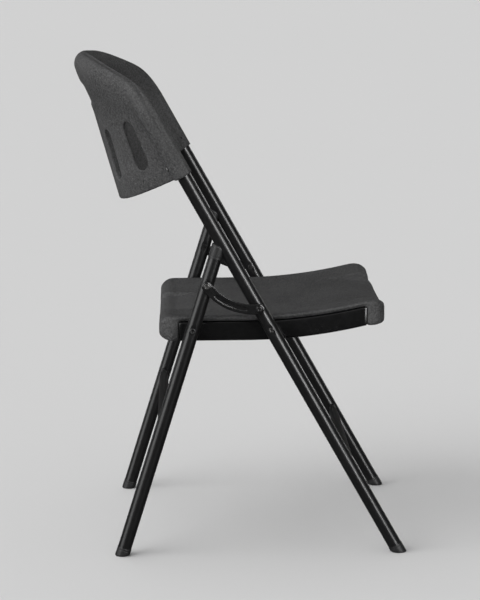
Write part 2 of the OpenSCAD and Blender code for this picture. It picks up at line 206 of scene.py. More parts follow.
def softenShell(piece, voxel, rounds=5):
    # remeshes a shell evenly and rounds its edges, as a moulding's are
    remesh = piece.modifiers.new("even", "REMESH")
    remesh.mode = "VOXEL"
    remesh.voxel_size = voxel
    smooth = piece.modifiers.new("soft", "SMOOTH")
    smooth.factor = 0.5
    smooth.iterations = rounds
    return bakeModifiers(piece)

def meshPoints(piece):
    co = np.empty(len(piece.data.vertices) * 3, np.float32)
    piece.data.vertices.foreach_get("co", co)
    return co.reshape(-1, 3).astype(float)

def setMeshPoints(piece, co):
    piece.data.vertices.foreach_set("co", co.astype(np.float32).ravel())
    piece.data.update()
    return smoothFaces(piece)

def finishPiece(piece, body, material, slotName, *nodes):
    piece.data.materials.clear()
    piece.data.materials.append(material)
    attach(piece, body)
    if nodes:
        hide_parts(*nodes)
    return piece

# shader groups and materials
grain = {"smooth": 0.45, "patchScale": 0.55, "gritScale": 3.2, "rough": 0.6, "cloudScale": 9.0, "cloudShare": 0.35}
coat = {"broadScale": 14.0, "broadRough": 0.65, "fineScale": 160.0, "fineRough": 0.7, "gain": 3.0, "offset": -0.45}

def feedNode(tree, node, values):
    # links what comes from another node; anything else becomes the socket's own value
    for key, value in values.items():
        if isinstance(value, bpy.types.NodeSocket):
            tree.links.new(value, node.inputs[key])
        else:
            node.inputs[key].default_value = value
    return node.outputs

def addNode(tree, kind, values, **settings):
    node = tree.nodes.new(kind)
    for key, value in settings.items():
        setattr(node, key, value)
    return feedNode(tree, node, values)

def mathNode(tree, operation, *values, clamp=False):
    return addNode(tree, "ShaderNodeMath", dict(enumerate(values)), operation=operation, use_clamp=clamp)[0]

def noiseNode(tree, vector, scale, detail=2.0, roughness=0.5):
    return addNode(tree, "ShaderNodeTexNoise", {
        "Vector": vector, "Scale": scale, "Detail": detail, "Roughness": roughness})["Fac"]

def nodeGroup(name, kind, inputs, outputs):
    # inputs and outputs give each label its kind of socket
    group = bpy.data.node_groups.new(name, kind)
    for way, labels in (("INPUT", inputs), ("OUTPUT", outputs)):
        for label, socket in labels.items():
            group.interface.new_socket(label, in_out=way, socket_type="NodeSocket" + socket)
    return group, group.nodes.new("NodeGroupInput").outputs, group.nodes.new("NodeGroupOutput")

def pebbleGrainGroup():
    # moulded leather-like grain: rounded pebbles of mixed size with fine grit on them
    group, into, out = nodeGroup("pebbleGrain", "ShaderNodeTree", {"Pebbles per metre": "Float", "Grit": "Float"},
                                 {"Height": "Float", "Tint": "Float"})
    coords = addNode(group, "ShaderNodeTexCoord", {})["Object"]
    density = into["Pebbles per metre"]
    distance = addNode(group, "ShaderNodeTexVoronoi", {
        "Vector": coords, "Scale": density, "Smoothness": grain["smooth"]}, feature="SMOOTH_F1")["Distance"]
    domes = mathNode(group, "SUBTRACT", 1.0, distance)
    patches = noiseNode(group, coords, mathNode(group, "MULTIPLY", density, grain["patchScale"]), 3.0, grain["rough"])
    grit = noiseNode(group, coords, mathNode(group, "MULTIPLY", density, grain["gritScale"]), 2.0, grain["rough"])
    height = mathNode(group, "ADD", mathNode(group, "MULTIPLY", domes, patches),
                      mathNode(group, "MULTIPLY", grit, into["Grit"]))
    cloud = noiseNode(group, coords, grain["cloudScale"], 4.0, grain["rough"])
    tint = mathNode(group, "ADD", mathNode(group, "MULTIPLY", cloud, grain["cloudShare"]),
                    mathNode(group, "MULTIPLY", height, 1 - grain["cloudShare"]))
    feedNode(group, out, {"Height": height, "Tint": tint})
    return group

def coatTextureGroup():
    # powder coat: a very fine orange peel, with faint rubbed patches
    group, into, out = nodeGroup("coatTexture", "ShaderNodeTree", {"Peel per metre": "Float"},
                                 {"Height": "Float", "Rubbed": "Float"})
    coords = addNode(group, "ShaderNodeTexCoord", {})["Object"]
    broad = noiseNode(group, coords, coat["broadScale"], 4.0, coat["broadRough"])
    fine = noiseNode(group, coords, coat["fineScale"], 3.0, coat["fineRough"])
    rubbed = mathNode(group, "MULTIPLY_ADD", mathNode(group, "MULTIPLY", broad, fine), coat["gain"], coat["offset"],
                      clamp=True)
    feedNode(group, out, {"Height": noiseNode(group, coords, into["Peel per metre"]), "Rubbed": rubbed})
    return group

pebbleGrain = pebbleGrainGroup()
coatTexture = coatTextureGroup()

def finishMaterial(name, group, scales, look):
    material = bpy.data.materials.new(name)
    material.use_nodes = True
    tree = material.node_tree
    height, tint = addNode(tree, "ShaderNodeGroup", scales, node_tree=group)
    ramp = tree.nodes.new("ShaderNodeValToRGB")
    for stop, place, colour in zip(ramp.color_ramp.elements, look.get("span", (0, 1)), (look["dark"], look["light"])):
        stop.position = place
        stop.color = (*colour, 1)
    tree.links.new(tint, ramp.inputs[0])
    low, high = look["rough"]
    rough = addNode(tree, "ShaderNodeMapRange", {"Value": tint, "To Min": low, "To Max": high})[0]
    strength, depth = look["bump"]
    bump = addNode(tree, "ShaderNodeBump", {"Height": height, "Strength": strength, "Distance": depth})[0]
    feedNode(tree, tree.nodes["Principled BSDF"], {
        "Base Color": ramp.outputs[0], "Roughness": rough, "Normal": bump,
        "Specular IOR Level": look.get("specular", 0.5), "Metallic": look.get("metallic", 0.0)})
    return material

shellPlastic = finishMaterial("shellPlastic", pebbleGrain, {"Pebbles per metre": 380, "Grit": 0.35}, {
    "dark": (0.020, 0.020, 0.0204), "light": (0.093, 0.093, 0.094), "span": (0.28, 0.68),
    "rough": (0.75, 0.52), "bump": (0.9, 0.0011), "specular": 0.4})
tubePaint = finishMaterial("tubePaint", coatTexture, {"Peel per metre": 950}, {
    "dark": (0.0055, 0.0055, 0.0058), "light": (0.0095, 0.0095, 0.01),
    "rough": (0.3, 0.36), "bump": (0.05, 0.0001)})
railPaint = finishMaterial("railPaint", coatTexture, {"Peel per metre": 700}, {
    "dark": (0.0035, 0.0035, 0.0037), "light": (0.007, 0.007, 0.0074),
    "rough": (0.22, 0.3), "bump": (0.05, 0.0001), "specular": 0.45})
linkPaint = finishMaterial("linkPaint", coatTexture, {"Peel per metre": 1100}, {
    "dark": (0.006, 0.006, 0.0063), "light": (0.012, 0.012, 0.0125),
    "rough": (0.24, 0.32), "bump": (0.06, 0.0001), "specular": 0.55})
rivetSteel = finishMaterial("rivetSteel", coatTexture, {"Peel per metre": 1400}, {
    "dark": (0.022, 0.022, 0.023), "light": (0.14, 0.138, 0.134), "span": (0.1, 1.0),
    "rough": (0.26, 0.4), "bump": (0.2, 0.0001), "metallic": 0.7})
screwSteel = finishMaterial("screwSteel", coatTexture, {"Peel per metre": 1500}, {
    "dark": (0.09, 0.09, 0.092), "light": (0.3, 0.3, 0.3),
    "rough": (0.3, 0.45), "bump": (0.2, 0.0001), "metallic": 0.9})
capPlastic = finishMaterial("capPlastic", pebbleGrain, {"Pebbles per metre": 1100, "Grit": 0.5}, {
    "dark": (0.008, 0.008, 0.0085), "light": (0.02, 0.02, 0.021), "span": (0.15, 0.75),
    "rough": (0.55, 0.4), "bump": (0.35, 0.0004), "specular": 0.45})
print("materials made")

# Geometry Nodes: tubes and fasteners
def geometryTree(name, inputs):
    return nodeGroup(name, "GeometryNodeTree", {"Geometry": "Geometry", **inputs, "Material": "Material"},
                     {"Geometry": "Geometry"})

def endTree(tree, geometry, into, out):
    # instances become real geometry and take the tree's material
    real = addNode(tree, "GeometryNodeRealizeInstances", {"Geometry": geometry})[0]
    done = addNode(tree, "GeometryNodeSetMaterial", {"Geometry": real, "Material": into["Material"]})[0]
    tree.links.new(done, out.inputs["Geometry"])
    return tree

def growTree(piece, tree, values):
    # sets the modifier's inputs by their identifiers, then makes the result a plain mesh
    grow = piece.modifiers.new("grow", "NODES")
    grow.node_group = tree
    for item in tree.interface.items_tree:
        if item.in_out == "INPUT" and item.name in values:
            grow[item.identifier] = values[item.name]
    return bakeModifiers(piece)

def tubeTree():
    # tubes along lines, pressed flat on both sides where a rivet passes
    tree, into, out = geometryTree("tubeTree", {
        "Radius": "Float", "Sides": "Int", "Ring Spacing": "Float", "Leg Place": "Float",
        "Rivet A": "Vector", "Rivet B": "Vector", "Press Depth": "Float", "Press Reach": "Float"})
    def maths(operation, *values):
        return mathNode(tree, operation, *values)
    path = addNode(tree, "GeometryNodeMeshToCurve", {"Mesh": into["Geometry"]})[0]
    path = addNode(tree, "GeometryNodeResampleCurve", {"Curve": path, "Length": into["Ring Spacing"]}, mode="LENGTH")[0]
    profile = addNode(tree, "GeometryNodeCurvePrimitiveCircle",
                      {"Radius": into["Radius"], "Resolution": into["Sides"]})[0]
    skin = addNode(tree, "GeometryNodeCurveToMesh",
                   {"Curve": path, "Profile Curve": profile, "Fill Caps": True})[0]
    place = addNode(tree, "GeometryNodeInputPosition", {})[0]
    flat = addNode(tree, "ShaderNodeVectorMath", {0: place, 1: (1, 0, 1)}, operation="MULTIPLY")[0]
    presses = []
    for label in ("Rivet A", "Rivet B"):
        far = addNode(tree, "ShaderNodeVectorMath", {0: flat, 1: into[label]}, operation="DISTANCE")["Value"]
        presses.append(addNode(tree, "ShaderNodeMapRange", {
            "Value": far, "From Min": tubes["pressFlat"], "From Max": into["Press Reach"],
            "To Min": 1.0, "To Max": 0.0}, interpolation_type="SMOOTHSTEP")[0])
    depth = maths("MULTIPLY", maths("MAXIMUM", *presses), into["Press Depth"])
    limit = maths("SUBTRACT", into["Radius"], depth)
    parts = addNode(tree, "ShaderNodeSeparateXYZ", {0: place})
    side = maths("SIGN", parts["Y"])
    kept = maths("SUBTRACT", maths("ABSOLUTE", parts["Y"]), into["Leg Place"])
    kept = maths("MINIMUM", kept, limit)
    kept = maths("MAXIMUM", kept, maths("MULTIPLY", limit, -1.0))
    kept = maths("MULTIPLY", maths("ADD", kept, into["Leg Place"]), side)
    moved = addNode(tree, "ShaderNodeCombineXYZ", {"X": parts["X"], "Y": kept, "Z": parts["Z"]})[0]
    skin = addNode(tree, "GeometryNodeSetPosition", {"Geometry": skin, "Position": moved})[0]
    return endTree(tree, skin, into, out)

def fastenerTree():
    # one fastener on each point, turned to face along the point's own direction
    tree, into, out = geometryTree("fastenerTree", {"Fastener": "Object", "Size": "Float", "Turn Seed": "Int"})
    shape = addNode(tree, "GeometryNodeObjectInfo", {"Object": into["Fastener"], "As Instance": True},
                    transform_space="ORIGINAL")["Geometry"]
    facing = addNode(tree, "GeometryNodeInputNamedAttribute", {"Name": "facing"}, data_type="FLOAT_VECTOR")[0]
    turn = addNode(tree, "FunctionNodeRandomValue", {"Max": 6.2832, "Seed": into["Turn Seed"]}, data_type="FLOAT")[1]
    turned = addNode(tree, "FunctionNodeAxisAngleToRotation", {"Axis": (0, 0, 1), "Angle": turn})[0]
    aimed = addNode(tree, "FunctionNodeAlignRotationToVector", {"Rotation": turned, "Vector": facing}, axis="Z")[0]
    many = addNode(tree, "GeometryNodeInstanceOnPoints",
                   {"Points": into["Geometry"], "Instance": shape, "Rotation": aimed, "Scale": into["Size"]})[0]
    return endTree(tree, many, into, out)

tubes = {
    "sides": 56,
    "ringSpacing": 0.0016,
    "pressDepth": 0.0009,
    "pressFlat": 0.004,  # flat this far round a rivet, then round again at the reach
    "pressReach": 0.0125,
    "uprightLength": 0.792,
    "rearLength": 0.505,
    "collarHeight": 0.014,
}
legTubes = tubeTree()
fasteners = fastenerTree()

def facingOut(centre, side, y):
    # a place for a fastener and the way it faces, outwards from the chair
    return (centre.x, side * y, centre.z), (0, side, 0)

def layFasteners(name, shape, places, seed, material):
    # places is a list of (point, facing); the shape is removed once it is laid
    piece = meshObject(name, [p for p, facing in places], [])
    facing = piece.data.attributes.new("facing", "FLOAT_VECTOR", "POINT")
    facing.data.foreach_set("vector", [c for p, direction in places for c in direction])
    growTree(piece, fasteners, {"Fastener": shape, "Size": 1.0, "Turn Seed": seed, "Material": material})
    bpy.data.objects.remove(shape)
    return tidyMesh(piece)

def legPair(name, leg, length, rivets):
    ends = []
    for side, word in sides:
        for u in (tubes["collarHeight"], length):
            ends.append(Vector((leg[0].x, side * legY, 0)) + leg[2] * u)
    piece = meshObject(name, ends, [])
    piece.data.edges.add(2)
    piece.data.edges.foreach_set("vertices", [0, 1, 2, 3])
    growTree(piece, legTubes, {
        "Radius": tubeRadius, "Sides": tubes["sides"], "Ring Spacing": tubes["ringSpacing"],
        "Leg Place": legY, "Rivet A": (rivets[0].x, 0, rivets[0].z), "Rivet B": (rivets[1].x, 0, rivets[1].z),
        "Press Depth": tubes["pressDepth"], "Press Reach": tubes["pressReach"], "Material": tubePaint})
    return tidyMesh(piece, sharpAngle=50)

uprights = legPair("uprights", frontLeg, tubes["uprightLength"], (seatPivot, linkPivot))
finishPiece(uprights, "front_frame", tubePaint, "frame_paint", "left_upright", "right_upright")
rearLegs = legPair("rearLegs", rearLeg, tubes["rearLength"], (rearPivot, linkEnd))
finishPiece(rearLegs, "rear_frame", tubePaint, "frame_paint", "left_rear_leg", "right_rear_leg")
print("leg tubes made")

crossbar = {
    "radius": 0.008, "pressStart": 0.168, "pressEnd": 0.190, "flatten": 0.62, "widen": 1.22, "sides": 40,
    "beadHeight": 0.0016, "beadWidth": 0.0014, "beadGap": 0.0004, "beadReach": 0.003,
    "ripples": 7, "rippleDepth": 0.25, "rippleFrom": 1e-5,
    "sink": 0.55,  # share of the leg's radius that the bar's end goes in
}

def crossbarPiece(name, node):
    # a round bar, pressed tall and narrow at its ends, with a rippled weld bead round each end
    x, z = boxMiddle(node)
    reach = legY - tubeRadius * crossbar["sink"]
    weldY = legY - tubeRadius - crossbar["beadGap"]
    half = spans((0, crossbar["pressStart"], weldY - crossbar["beadReach"], reach), (12, 14, 12))
    angles = circleAngles(crossbar["sides"])
    ripple = 1 + crossbar["rippleDepth"] * np.sin(crossbar["ripples"] * angles)
    rings = []
    for y in np.concatenate([-half[::-1], half[1:]]):
        pressed = float(smoothStep(crossbar["pressStart"], crossbar["pressEnd"], abs(y)))
        bead = crossbar["beadHeight"] * bell(abs(y), weldY, crossbar["beadWidth"])
        bead = bead * ripple if bead > crossbar["rippleFrom"] else bead
        tall = crossbar["radius"] * (1 + (crossbar["widen"] - 1) * pressed) + bead
        narrow = crossbar["radius"] * (1 - (1 - crossbar["flatten"]) * pressed) + bead
        rings.append(np.stack([x + narrow * np.cos(angles), np.full(len(angles), y), z + tall * np.sin(angles)], 1))
    return loftMesh(name, rings, 60)

for end in ("front", "rear"):
    bar = crossbarPiece(end + "Bar", end + "_crossbar")
    finishPiece(bar, end + "_frame", tubePaint, "frame_paint", end + "_crossbar")
print("crossbars made")

tip = {
    "radius": 0.0115, "edgeRound": 0.0028, "edgeSquash": 0.9, "sides": 56,
    "grooveAt": 0.0105, "grooveDepth": 0.0005, "grooveWidth": 0.0005,
    "lipRound": 0.0008, "lipInset": 0.0003, "lipDrop": 0.0001,
    "neckInset": 0.0004,  # the tip closes this far inside the tube's wall
}

def footPiece(name, leg, side):
    angles = circleAngles(tip["sides"])
    def floorAt(radius):
        # height along the leg at which each side of the tip meets the floor
        return -radius * np.cos(angles) * leg[1].z / leg[2].z
    rings = []
    for step in np.linspace(0, 1, 8):
        radius = tip["radius"] - tip["edgeRound"] * (1 - sin(step * pi / 2))
        lift = tip["edgeRound"] * (1 - cos(step * pi / 2))
        rings.append((radius, floorAt(radius) + lift / leg[2].z * tip["edgeSquash"]))
    top = tubes["collarHeight"]
    start = rings[-1][1]
    for share in np.linspace(0.12, 1, 12):
        height = start + share * (top - tip["lipRound"] - start)
        rings.append((tip["radius"] - tip["grooveDepth"] * bell(height, tip["grooveAt"], tip["grooveWidth"]), height))
    rings.append((tip["radius"] - tip["lipInset"], top - tip["lipDrop"]))
    rings.append((tubeRadius - tip["neckInset"], top + tip["lipDrop"]))
    rings = [legRing(leg, side, radius, angles, height) for radius, height in rings]
    rings = [np.maximum(ring, [-9, -9, 0]) for ring in rings]  # nothing below the floor
    return loftMesh(name, rings, 40)

for side, word in sides:
    for leg, end in ((frontLeg, "front"), (rearLeg, "rear")):
        tipPiece = footPiece(word + end.capitalize() + "Tip", leg, side)
        finishPiece(tipPiece, end + "_frame", capPlastic, "cap_plastic", end + "_" + word + "_foot")
print("feet made")

cap = {
    "radius": 0.0115, "start": 0.5052, "top": 0.5296, "slope": 0.21, "round": 0.0035, "sides": 64,
    "neckInset": 0.0004, "neckDrop": 0.0002, "crownRadii": (0.006, 0.004, 0.002, 0.0005),
    "grooveAt": 0.5085, "grooveDepth": 0.0005, "grooveWidth": 0.0006,
    "cutSpan": (0.45, 0.65), "cutForward": 0.05, "cutHalf": 0.02,
}

def capPiece(name, side):
    # a stop cap on top of a rear leg, hollowed to cradle the upright
    angles = circleAngles(cap["sides"])
    def rim(radius):
        return cap["top"] - cap["slope"] * (radius * np.cos(angles) + cap["radius"])
    rings = [(tubeRadius - cap["neckInset"], cap["start"] - cap["neckDrop"]),
             (cap["radius"] - cap["neckInset"], cap["start"])]
    for share in np.linspace(0.02, 1, 16):
        height = cap["start"] + share * (rim(cap["radius"]) - cap["round"] - cap["start"])
        rings.append((cap["radius"] - cap["grooveDepth"] * bell(height, cap["grooveAt"], cap["grooveWidth"]), height))
    for turn in np.linspace(0.15, 1, 8):
        radius = cap["radius"] - cap["round"] * (1 - cos(turn * pi / 2))
        rings.append((radius, rim(radius) - cap["round"] * (1 - sin(turn * pi / 2))))
    rings += [(radius, rim(radius)) for radius in cap["crownRadii"]]
    piece = loftMesh(name, [legRing(rearLeg, side, radius, angles, height) for radius, height in rings])
    cradle = tubeRadius + chair["playGap"]
    cutters = [loftMesh("cradleCut", [legRing(frontLeg, side, cradle, angles, u) for u in cap["cutSpan"]])]
    block = corners(0, cap["cutForward"], -cap["cutHalf"], cap["cutHalf"])
    rings = [[alongLeg(frontLeg, f, side * legY + y, u) for f, y in block] for u in cap["cutSpan"]]
    cutters.append(loftMesh("frontCut", rings))
    return tidyMesh(cutWith(piece, cutters), sharpAngle=40)

for side, word in sides:
    finishPiece(capPiece(word + "Cap", side), "rear_frame", capPlastic, "cap_plastic", word + "_stop_cap")
print("stop caps made")

link = {
    "width": 0.016, "thick": 0.003, "sag": 0.012, "arcSteps": 60, "endSteps": 18,
    "channelLength": 0.056, "channelWidth": 0.0062, "channelDepth": 0.0011, "channelSoft": (-0.0009, 0.0006),
    "bossRadius": 0.0062, "bossRise": 0.0007, "bossSoft": (-0.0006, 0.0008),
    "edgeRound": 0.0011, "backRound": 0.0004, "backInsets": (0.007, 0.004, 0.0006), "faceInsets": (0.0003, 0.0001),
    "collarRadii": (0.0058, 0.0066, 0.0072, 0.0076), "collarRound": 0.0004, "collarSink": 0.0005, "turnSeed": 3,
}

def linkPiece(name, side, node):
    # a stamped strip with a pressed channel and raised bosses
    outerY = sideReach(node)[1]
    start = np.array((linkPivot.x, linkPivot.z))
    end = np.array((linkEnd.x, linkEnd.z))
    chord = np.linalg.norm(end - start)
    along = (end - start) / chord
    across = np.array((along[1], -along[0]))
    if across[1] > 0:
        across = -across  # the links sag
    arcRadius = (chord ** 2 / 4 + link["sag"] ** 2) / (2 * link["sag"])
    halfTurn = asin(chord / 2 / arcRadius)
    def spine(t):
        # t runs from -halfTurn to halfTurn; gives the point and the direction away from the arc's centre
        out = np.array((sin(t), cos(t)))
        return out * arcRadius - np.array((0, arcRadius - link["sag"])), out
    loop = []  # spine point, direction out, arc length from the middle
    for way in (1, -1):
        for t in np.linspace(-way * halfTurn, way * halfTurn, link["arcSteps"]):
            point, out = spine(t)
            loop.append((point, way * out, t * arcRadius))
        point = spine(way * halfTurn)[0]
        for turn in np.linspace(0, pi, link["endSteps"])[1:-1]:
            angle = way * (pi / 2 - halfTurn) - turn
            loop.append((point, np.array((cos(angle), sin(angle))), way * halfTurn * arcRadius))
    centres = [spine(-halfTurn)[0], spine(halfTurn)[0]]
    def relief(flat, inset, s):
        # the channel is pressed in along the middle; a boss rises round each rivet
        beyond = max(0, abs(s) - (link["channelLength"] / 2 - link["channelWidth"] / 2))
        away = hypot(link["width"] / 2 - inset, beyond)
        channel = 1 - stepFrom(link["channelWidth"] / 2, link["channelSoft"], away)
        boss = max(1 - stepFrom(link["bossRadius"], link["bossSoft"], np.linalg.norm(flat - c)) for c in centres)
        return link["bossRise"] * boss - link["channelDepth"] * channel
    def ringAt(inset, y, raised=False):
        # a ring parallel to the strip's outline, at a distance y from the chair's middle
        ring = []
        for point, out, s in loop:
            flat = point + out * (link["width"] / 2 - inset)
            xz = start + along * (flat[0] + chord / 2) + across * flat[1]
            ring.append((xz[0], side * (y + relief(flat, inset, s) if raised else y), xz[1]))
        return ring
    base = outerY - link["thick"]
    face = outerY - link["bossRise"]
    edge = link["edgeRound"]
    rings = [ringAt(inset, base) for inset in link["backInsets"]] + [ringAt(0, base + link["backRound"])]
    for turn in np.linspace(0, pi / 2, 6):
        rings.append(ringAt(edge * (1 - cos(turn)), face - edge * (1 - sin(turn))))
    first, last = link["faceInsets"]
    for inset in np.linspace(edge + first, link["width"] / 2 - last, 20):
        rings.append(ringAt(inset, face, raised=True))
    piece = loftMesh(name, rings, 50)
    # a collar behind each boss keeps the strip clear of the leg
    inner = legY + tubeRadius + chair["playGap"]
    depth = base - inner + link["collarSink"]
    heights = (0, link["collarRound"], depth * 0.6, depth)
    collar = latheMesh("collarShape", [(0, 0), *zip(link["collarRadii"], heights), (0, depth)])
    places = [facingOut(p, side, inner) for p in (linkPivot, linkEnd)]
    ring = layFasteners(name + "Collars", collar, places, link["turnSeed"], linkPaint)
    joined = bmesh.new()
    joined.from_mesh(piece.data)
    joined.from_mesh(ring.data)
    joined.to_mesh(piece.data)
    joined.free()
    bpy.data.objects.remove(ring)
    return smoothFaces(piece, 50)

for side, word in sides:
    strip = linkPiece(word + "Strip", side, word + "_link")
    finishPiece(strip, word + "_link_arm", linkPaint, "frame_paint", word + "_link")
print("links made")

rivet = {
    "headRadius": 0.00475, "headHeight": 0.0015, "shaftRadius": 0.003, "dimple": 0.0013, "edge": 0.0003,
    "tailEdge": 0.0002, "turnSeed": 7, "linkTurnSeed": 11,
    # shares of the head's radius and height, then of its radius and the dimple's depth
    "crown": ((0.98, 0.55), (0.86, 0.9), (0.68, 1), (0.52, 0.93), (0.42, 0.7)),
    "hollow": ((0.34, 0.85), (0.2, 1), (0, 1.02)),
}

def headProfile(shaftLength, backHead):
    # from the tip of the shaft, or its back head, to the dimpled front of the head
    r, h, shaft = rivet["headRadius"], rivet["headHeight"], rivet["shaftRadius"]
    tail = [(0, -shaftLength), (shaft * 0.8, -shaftLength), (shaft, -shaftLength + rivet["edge"])]
    if backHead:
        tail = [(0, -shaftLength - h), (r * 0.75, -shaftLength - h), (r * 0.97, -shaftLength - h * 0.7),
                (r, -shaftLength - rivet["tailEdge"]), (r * 0.96, -shaftLength), (shaft, -shaftLength)]
    front = [(shaft, 0), (r * 0.97, 0), (r, rivet["edge"])] + [(r * a, h * b) for a, b in rivet["crown"]]
    return tail + front + [(r * a, h - rivet["dimple"] * b) for a, b in rivet["hollow"]]

for name, body, node, centre in (
        ("seatRivets", "front_frame", "left_seat_rivet", seatPivot),
        ("linkRivets", "front_frame", "left_link_rivet", linkPivot),
        ("rearRivets", "rear_frame", "left_rear_rivet", rearPivot)):
    inner, outer = sideReach(node)
    outer -= rivet["headHeight"]
    shape = latheMesh("rivetShape", headProfile(outer - (inner + rivet["headHeight"]), True))
    places = [facingOut(centre, side, outer) for side, word in sides]
    piece = layFasteners(name, shape, places, rivet["turnSeed"], rivetSteel)
    finishPiece(piece, body, rivetSteel, "rivet_steel", node, node.replace("left", "right"))
for side, word in sides:
    inner, outer = sideReach(word + "_link_head")
    outer -= rivet["headHeight"]
    shape = latheMesh("rivetShape", headProfile(outer - inner, False))
    places = [facingOut(linkEnd, side, outer)]
    piece = layFasteners(word + "LinkHead", shape, places, rivet["linkTurnSeed"], rivetSteel)
    finishPiece(piece, word + "_link_arm", rivetSteel, "rivet_steel", word + "_link_head")

screw = {
    "headRadius": 0.004, "headHeight": 0.002, "shaftRadius": 0.002, "shaftLength": 0.006, "point": 0.001,
    "edge": 0.0003, "crown": ((0.96, 0.55), (0.8, 0.86), (0.5, 1)),
    "crossReach": 0.0023, "crossHalf": 0.0004, "crossDepth": 0.0012, "sides": 32,
    "headBack": 0.0027,  # the head's underside is this far behind the screw's middle
    "turnSeed": 5,
}

def screwShape():
    # a pan head with a cross recess, on a plain shank
    r, h, shank, length = screw["headRadius"], screw["headHeight"], screw["shaftRadius"], screw["shaftLength"]
    profile = [(0, -length), (shank * 0.6, -length), (shank, screw["point"] - length), (shank, 0), (r * 0.96, 0),
               (r, screw["edge"])] + [(r * a, h * b) for a, b in screw["crown"]] + [(0, h)]
    piece = tidyMesh(latheMesh("screwShape", profile, screw["sides"]))
    blade = corners(-screw["crossReach"], screw["crossReach"], -screw["crossHalf"], screw["crossHalf"])
    for turn in (0, pi / 2):
        c, s = cos(turn), sin(turn)
        rings = [[(x * c - y * s, x * s + y * c, z) for x, y in blade] for z in (h - screw["crossDepth"], h + 0.001)]
        cutWith(piece, [loftMesh("slotCut", rings)])
    return piece

screwX, screwZ = boxMiddle("backrest_screws")
headFace = Vector((screwX, 0, screwZ)) - foreAxis * screw["headBack"]
places = [((headFace.x, side * legY, headFace.z), tuple(-foreAxis)) for side, word in sides]
piece = layFasteners("backScrews", screwShape(), places, screw["turnSeed"], screwSteel)
finishPiece(piece, "front_frame", screwSteel, "screw_steel", "backrest_screws")
print("rivets and screws made")

back = {
    "bottom": 0.700, "top": 0.925,  # heights along the uprights
    "middleLift": 0.005, "liftReach": 0.185,
    "cornerStart": 0.782, "cornerPower": 2.1, "cornerTurn": 0.9, "rollRadius": 0.0155, "panel": 0.013,
    "bowBottom": 0.1135, "bowTop": 0.062, "bowPowers": (3.3, 1.8), "swellReach": 0.078, "sleeveEase": 0.032,
    "boreStart": 0.690, "boreEnd": 0.793, "boreSides": 48,
    "slotWidth": 0.027, "slotLength": 0.080, "slotHeight": 0.775, "slotPlaces": (0.096, 0.158), "slotSides": 40,
    # the slot opens out towards the front: depth from the panel's middle, then how much wider
    "slotRings": ((-0.035, 0), (-0.003, 0), (0, 0.0022), (0.005, 0.0063), (0.030, 0.0135)),
    "valleyDepth": 0.0030, "valleyAt": -0.0055, "valleyWidth": 0.0034, "valleyInside": (0.013, 0.005),
    "valleyAcross": (0.020, 0.060), "sleeveSkin": (0.0125, 0.0135),
    "rearSkin": (0.001, 0.006), "grooveDepth": 0.0085, "groovePlace": 0.1895, "grooveWidth": 0.0036,
    "grooveFade": (0.838, 0.775),
    "stepDepth": 0.0022, "stepRise": (0.858, 0.864), "stepMiddle": 0.872, "stepFade": (0.030, 0.018),
    "stepAcross": (0.12, 0.03),
    "voxel": 0.00196,
}
backHalf = legY + back["rollRadius"]
backRise = back["top"] + back["rollRadius"] - back["cornerStart"]
panelHalf = legY - back["rollRadius"]

def bowAt(u):
    # the bow's depth at mid-width and its roundness, both easing up the panel
    share = np.clip((u - back["bottom"]) / (back["top"] - back["bottom"]), 0, 1.2)
    low, high = back["bowPowers"]
    return back["bowBottom"] + (back["bowTop"] - back["bowBottom"]) * share, low + (high - low) * share

def backBow(y, u):
    # how far the panel lies behind the uprights
    depth, power = bowAt(u)
    ease = back["sleeveEase"]
    share = 1 - ease * np.logaddexp(0, (1 - np.abs(y) / panelHalf) / ease)
    return depth * (1 - np.maximum(share, 0) ** power)

def backSlope(y):
    # how steeply the bow runs back at the height of the slots
    depth, power = bowAt(back["slotHeight"])
    return float(depth * power * min(1, abs(y) / panelHalf) ** (power - 1) / panelHalf)

def backSlice(angle):
    # the shell's section at one turn of its outline: down its front and up its rear
    roll, start, power = back["rollRadius"], back["cornerStart"], 2 / back["cornerPower"]
    cosA, sinA = cos(angle), sin(angle)
    y = copysign(backHalf * abs(cosA) ** power, cosA)
    top = start + backRise * max(0, sinA) ** power
    sleeve = sqrt(max(2.5e-7, roll ** 2 - (abs(y) - legY) ** 2))
    outer = abs(y) > legY
    deep = sleeve if outer else roll
    wall = back["panel"] / 2 * sqrt(1 + backSlope(min(abs(y), back["slotPlaces"][1])) ** 2)
    thick = deep if outer else min(max(wall, sleeve), roll)
    high = min(roll * (1 + 2 * cosA ** 4), top - start + roll)
    centre = top - high
    turn = pi - asin(min(1, thick / deep))
    low = back["bottom"] + back["middleLift"] * max(0, 1 - (abs(y) / back["liftReach"]) ** 2)
    rib = [(u, thick) for u in np.linspace(low, centre + high * cos(turn), 18)]
    rib += [(centre + high * cos(t), deep * sin(t)) for t in np.linspace(turn, 0, 16)[1:]]
    front = [(h - backBow(y, u), y, u) for u, h in rib]
    rear = []
    for u, h in rib[-2::-1]:
        if u < centre:  # the rear swells smoothly from the panel into the roll
            h = max(h, thick + (deep - thick) * float(smoothStep(centre - back["swellReach"], centre, u)))
        rear.append((-backBow(y, u) - h, y, u))
    return np.array(front + rear)

